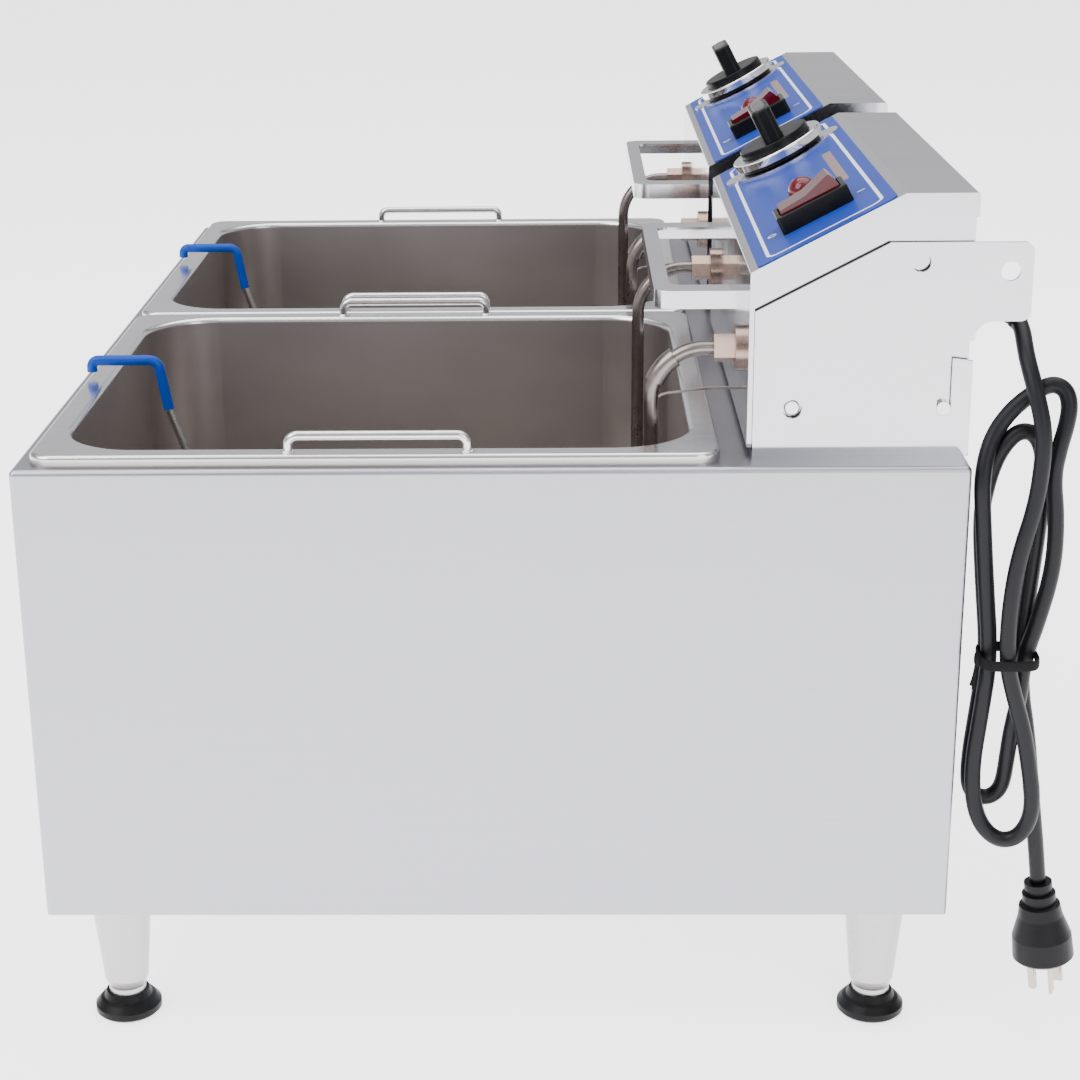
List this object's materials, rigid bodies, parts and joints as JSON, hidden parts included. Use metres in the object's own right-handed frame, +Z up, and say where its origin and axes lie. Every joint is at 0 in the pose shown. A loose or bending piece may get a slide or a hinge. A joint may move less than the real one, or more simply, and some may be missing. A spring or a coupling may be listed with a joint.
{
  "type": "deep fryer",
  "caption": "Countertop electric deep fryer: twin pots in a steel casing on legs, with tilting heater heads, knobs, rocker switches, basket rails and a mains cord.",
  "frame": {"origin": "on the surface under the feet, at the middle of the fryer without its cord", "axes": "+X towards the cord side, along the width; +Y towards the rear; +Z up"},
  "size_m": [0.6725, 0.5601, 0.4761],
  "materials": {
    "brushed_casing": "fine horizontal brushing",
    "polished_steel": "mirror polished stainless sheet",
    "pot_satin": "satin drawn stainless steel",
    "satin_steel": "satin stainless steel",
    "bright_steel": "bright stainless steel",
    "chrome_ring": "chrome plated",
    "heater_tube": "satin heating element sheath",
    "fitting_brass": "nickel-washed brass",
    "brass_pins": "plated brass",
    "label_blue": "printed blue foil with white lines",
    "grip_blue": "soft blue plastic sleeve",
    "knob_black": "moulded black plastic",
    "black_plastic": "moulded black plastic",
    "rocker_red": "clear-capped red plastic",
    "lens_red": "red lens",
    "terminal_white": "moulded white plastic",
    "foot_rubber": "black rubber",
    "cord_rubber": "black cord jacket",
    "tie_black": "black hook-and-loop band",
    "plug_rubber": "moulded black plug"
  },
  "bodies": {
    "root": {"body_shell": "brushed_casing", "base_plate": "brushed_casing", "legs": "satin_steel", "right_pot": "pot_satin", "left_pot": "pot_satin", "right_pot_handles": "bright_steel", "left_pot_handles": "bright_steel", "right_brackets": "polished_steel", "left_brackets": "polished_steel", "bracket_screws": "bright_steel", "cord_lead": "cord_rubber", "cord_hank": "cord_rubber", "cord_tie": "tie_black", "cord_tail": "cord_rubber", "plug_body": "plug_rubber", "plug_blades": "brass_pins"},
    "foot_front_right_body": {"foot_front_right": "foot_rubber"},
    "foot_front_left_body": {"foot_front_left": "foot_rubber"},
    "foot_rear_right_body": {"foot_rear_right": "foot_rubber"},
    "foot_rear_left_body": {"foot_rear_left": "foot_rubber"},
    "right_head": {"right_head_cover": "polished_steel", "right_head_chassis": "polished_steel", "right_pivot_pins": "bright_steel", "right_cord_gland": "black_plastic", "right_control_label": "label_blue", "right_knob_plate": "bright_steel", "right_thermostat": "black_plastic", "right_switch_housing": "black_plastic", "right_pilot_light": "lens_red", "right_terminal_block": "terminal_white", "right_element": "heater_tube", "right_element_fittings": "fitting_brass", "right_sensor": "heater_tube", "right_handle_rod": "satin_steel", "right_lift_grip": "grip_blue", "right_hanger": "polished_steel"},
    "right_knob_body": {"right_knob": "knob_black", "right_dial_ring": "chrome_ring"},
    "right_rocker_body": {"right_rocker": "rocker_red"},
    "right_plunger_body": {"right_lock_plunger": "bright_steel"},
    "left_head": {"left_head_cover": "polished_steel", "left_head_chassis": "polished_steel", "left_pivot_pins": "bright_steel", "left_cord_gland": "black_plastic", "left_control_label": "label_blue", "left_knob_plate": "bright_steel", "left_thermostat": "black_plastic", "left_switch_housing": "black_plastic", "left_pilot_light": "lens_red", "left_terminal_block": "terminal_white", "left_element": "heater_tube", "left_element_fittings": "fitting_brass", "left_sensor": "heater_tube", "left_handle_rod": "satin_steel", "left_lift_grip": "grip_blue", "left_hanger": "polished_steel"},
    "left_knob_body": {"left_knob": "knob_black", "left_dial_ring": "chrome_ring"},
    "left_rocker_body": {"left_rocker": "rocker_red"},
    "left_plunger_body": {"left_lock_plunger": "bright_steel"}
  },
  "joints": [
    {"name": "front_right_foot_screw", "type": "slide", "parent": "root", "child": "foot_front_right_body", "axis": [0, 0, -1], "range_m": [0, 0.012]},
    {"name": "front_left_foot_screw", "type": "slide", "parent": "root", "child": "foot_front_left_body", "axis": [0, 0, -1], "range_m": [0, 0.012]},
    {"name": "rear_right_foot_screw", "type": "slide", "parent": "root", "child": "foot_rear_right_body", "axis": [0, 0, -1], "range_m": [0, 0.012]},
    {"name": "rear_left_foot_screw", "type": "slide", "parent": "root", "child": "foot_rear_left_body", "axis": [0, 0, -1], "range_m": [0, 0.012]},
    {"name": "right_head_tilt", "type": "hinge", "parent": "root", "child": "right_head", "pos_m": [0.165, 0.217, 0.354], "axis": [-1, 0, 0], "range_deg": [0, 113], "deforming": ["cord_lead"]},
    {"name": "right_knob_turn", "type": "hinge", "parent": "right_head", "child": "right_knob_body", "pos_m": [0.07, 0.15139, 0.45212], "axis": [0, -0.4612, 0.8873], "range_deg": [0, 300]},
    {"name": "right_rocker_press", "type": "hinge", "parent": "right_head", "child": "right_rocker_body", "pos_m": [0.2555, 0.15231, 0.45035], "axis": [-1, 0, 0], "range_deg": [0, 20]},
    {"name": "right_lock_slide", "type": "slide", "parent": "right_head", "child": "right_plunger_body", "axis": [-1, 0, 0], "range_m": [0, 0.004], "stiffness_N_per_m": 600, "springref_m": -0.004},
    {"name": "left_head_tilt", "type": "hinge", "parent": "root", "child": "left_head", "pos_m": [-0.165, 0.217, 0.354], "axis": [-1, 0, 0], "range_deg": [0, 113]},
    {"name": "left_knob_turn", "type": "hinge", "parent": "left_head", "child": "left_knob_body", "pos_m": [-0.26, 0.15139, 0.45212], "axis": [0, -0.4612, 0.8873], "range_deg": [0, 300]},
    {"name": "left_rocker_press", "type": "hinge", "parent": "left_head", "child": "left_rocker_body", "pos_m": [-0.0745, 0.15231, 0.45035], "axis": [-1, 0, 0], "range_deg": [0, 20]},
    {"name": "left_lock_slide", "type": "slide", "parent": "left_head", "child": "left_plunger_body", "axis": [-1, 0, 0], "range_m": [0, 0.004], "stiffness_N_per_m": 600, "springref_m": -0.004}
  ]
}
